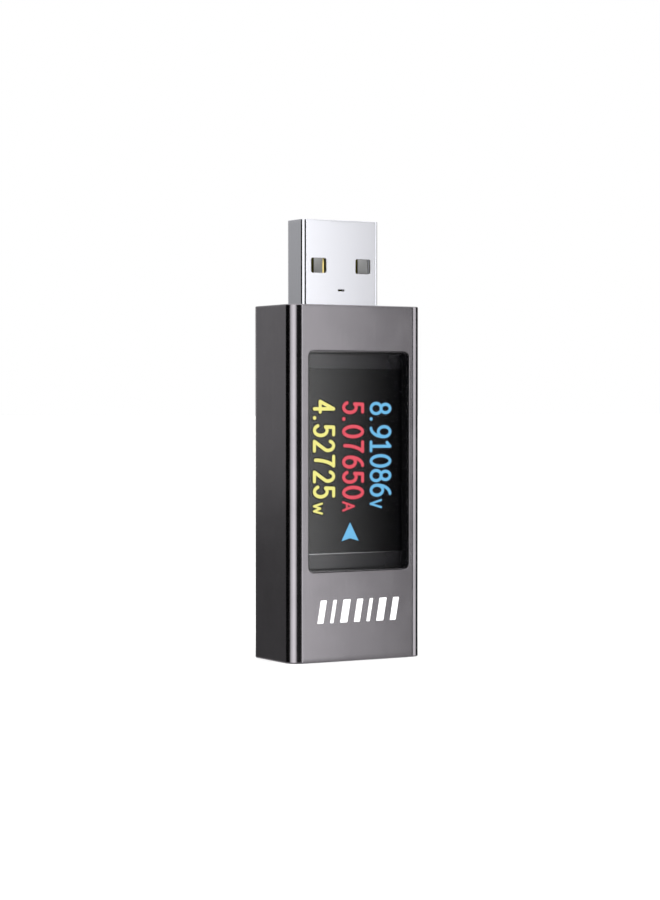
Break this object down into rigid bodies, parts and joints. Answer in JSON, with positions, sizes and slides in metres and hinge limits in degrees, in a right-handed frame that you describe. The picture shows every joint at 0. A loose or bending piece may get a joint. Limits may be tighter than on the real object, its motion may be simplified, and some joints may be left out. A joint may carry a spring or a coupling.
{
  "type": "usb power meter",
  "caption": "Pocket meter in a flat aluminium tube, with a USB plug at the top, a USB socket in the base, a smoked window over a lit display and a key on the side.",
  "frame": {"origin": "middle of the underside of the object's box, 0.3 mm to the key's side of the tube's own middle line", "axes": "+Z from the socket end up to the plug, -Y out of the display window, +X towards the key"},
  "size_m": [0.0212, 0.0114, 0.0597],
  "materials": {
    "anodised_aluminium": "satin gunmetal anodising over a fine blasted grain",
    "smoked_lens": "polished, smoke-tinted clear plastic",
    "black_tape": "matt",
    "lit_panel": "glossy polariser over a lit panel",
    "white_plastic": "as moulded",
    "charcoal_plastic": "fine matt texture",
    "pale_plastic": "as moulded",
    "plated_steel": "bright nickel plating",
    "gold_contact": "gold flash",
    "circuit_board": "glossy solder mask",
    "chip_package": "matt epoxy",
    "ceramic_body": "fired ceramic with bare sides",
    "ribbon_film": "glossy amber film"
  },
  "bodies": {
    "case": {"case_tube": "anodised_aluminium", "window_lens": "smoked_lens", "window_adhesive": "black_tape", "socket_end_cap": "charcoal_plastic", "plug_end_cap": "charcoal_plastic", "display_glass": "lit_panel", "display_backlight": "white_plastic", "display_flex": "ribbon_film", "flex_connector": "pale_plastic", "main_pcb": "circuit_board", "microcontroller": "chip_package", "timing_crystal": "plated_steel", "current_sensor": "chip_package", "voltage_regulator": "chip_package", "shunt_resistor": "chip_package", "power_inductor": "chip_package", "input_capacitor": "ceramic_body", "output_capacitor": "ceramic_body", "tact_switch_body": "chip_package", "plug_shell": "plated_steel", "plug_insulator": "white_plastic", "plug_contact_1": "gold_contact", "plug_contact_2": "gold_contact", "plug_contact_3": "gold_contact", "plug_contact_4": "gold_contact", "socket_shell": "plated_steel", "socket_tongue": "pale_plastic", "socket_terminal_1": "gold_contact", "socket_terminal_2": "gold_contact", "socket_terminal_3": "gold_contact", "socket_terminal_4": "gold_contact"},
    "key": {"function_key": "anodised_aluminium", "tact_switch_plunger": "white_plastic"},
    "spring_1": {"socket_spring_1": "plated_steel"},
    "spring_2": {"socket_spring_2": "plated_steel"},
    "spring_3": {"socket_spring_3": "plated_steel"},
    "spring_4": {"socket_spring_4": "plated_steel"},
    "contact_1": {"socket_contact_1": "gold_contact"},
    "contact_2": {"socket_contact_2": "gold_contact"},
    "contact_3": {"socket_contact_3": "gold_contact"},
    "contact_4": {"socket_contact_4": "gold_contact"}
  },
  "joints": [
    {"name": "key_press", "type": "slide", "parent": "case", "child": "key", "axis": [-1, 0, 0], "range_m": [0, 0.0003], "stiffness_N_per_m": 5000},
    {"name": "spring_1_flex", "type": "hinge", "parent": "case", "child": "spring_1", "pos_m": [-0.0034, -0.0029, 0.0102], "axis": [-1, 0, 0], "range_deg": [0, 3.5], "stiffness_Nm_per_rad": 0.15},
    {"name": "spring_2_flex", "type": "hinge", "parent": "case", "child": "spring_2", "pos_m": [0.0028, -0.0029, 0.0102], "axis": [-1, 0, 0], "range_deg": [0, 3.5], "stiffness_Nm_per_rad": 0.15},
    {"name": "spring_3_flex", "type": "hinge", "parent": "case", "child": "spring_3", "pos_m": [-0.0034, 0.0025, 0.0102], "axis": [1, 0, 0], "range_deg": [0, 3.5], "stiffness_Nm_per_rad": 0.15},
    {"name": "spring_4_flex", "type": "hinge", "parent": "case", "child": "spring_4", "pos_m": [0.0028, 0.0025, 0.0102], "axis": [1, 0, 0], "range_deg": [0, 3.5], "stiffness_Nm_per_rad": 0.15},
    {"name": "contact_1_flex", "type": "hinge", "parent": "case", "child": "contact_1", "pos_m": [-0.0038, -0.00066, 0.0107], "axis": [-1, 0, 0], "range_deg": [0, 3.5], "stiffness_Nm_per_rad": 0.063},
    {"name": "contact_2_flex", "type": "hinge", "parent": "case", "child": "contact_2", "pos_m": [-0.0013, -0.00066, 0.0107], "axis": [-1, 0, 0], "range_deg": [0, 3.5], "stiffness_Nm_per_rad": 0.063},
    {"name": "contact_3_flex", "type": "hinge", "parent": "case", "child": "contact_3", "pos_m": [0.0007, -0.00066, 0.0107], "axis": [-1, 0, 0], "range_deg": [0, 3.5], "stiffness_Nm_per_rad": 0.063},
    {"name": "contact_4_flex", "type": "hinge", "parent": "case", "child": "contact_4", "pos_m": [0.0032, -0.00066, 0.0107], "axis": [-1, 0, 0], "range_deg": [0, 3.5], "stiffness_Nm_per_rad": 0.063}
  ]
}
